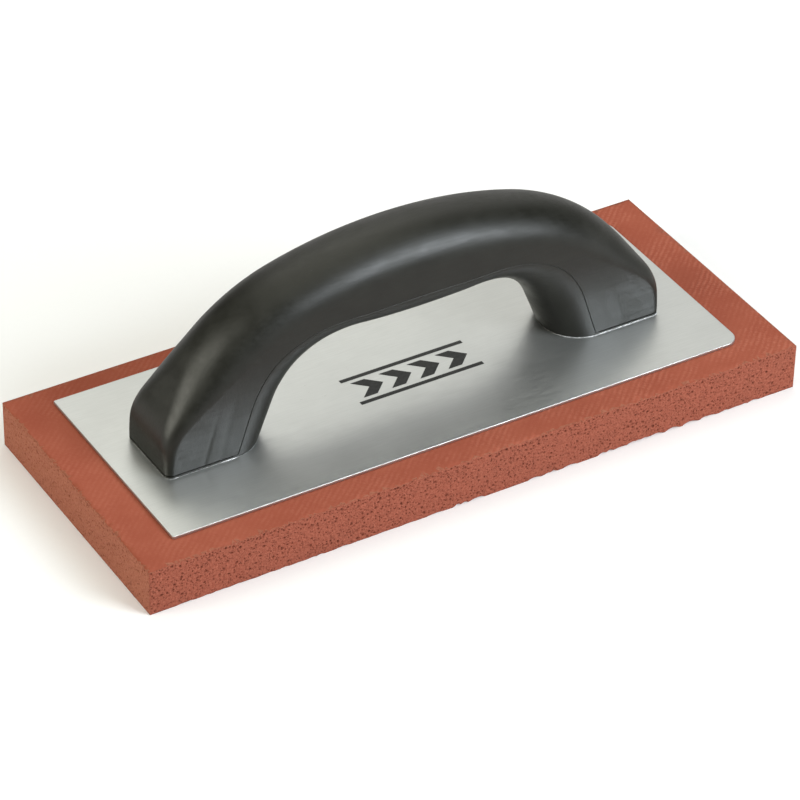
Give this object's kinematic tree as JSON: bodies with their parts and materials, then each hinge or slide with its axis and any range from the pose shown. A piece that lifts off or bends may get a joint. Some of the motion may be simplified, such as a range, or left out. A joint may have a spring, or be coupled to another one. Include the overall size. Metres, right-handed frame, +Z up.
{
  "type": "hand float",
  "caption": "Hand float for concrete, mortar and tile joints: a rectangular cellular rubber pad bonded under an aluminium plate that carries a hollow arched plastic handle.",
  "frame": {"origin": "centre of the pad's underside, on the surface being worked", "axes": "+X along the pad's length, +Y across its width, +Z up through the handle, away from the work"},
  "size_m": [0.24, 0.1, 0.0785],
  "materials": {
    "sponge_rubber": "matte cellular rubber, brick red, open pores on its cut faces and a cloth-marked skin on top",
    "contact_adhesive": "thin dried film, amber",
    "plate_aluminium": "satin, finely grained sheet",
    "handle_plastic": "black, moulded, soft satin",
    "screw_steel": "bright zinc plated",
    "print_ink": "flat black pad-printed ink"
  },
  "bodies": {
    "root": {"sponge_pad": "sponge_rubber", "pad_adhesive": "contact_adhesive", "backing_plate": "plate_aluminium", "handle_outer_shell": "handle_plastic", "handle_inner_shell": "handle_plastic", "plate_screws": "screw_steel", "printed_mark": "print_ink"}
  },
  "joints": []
}
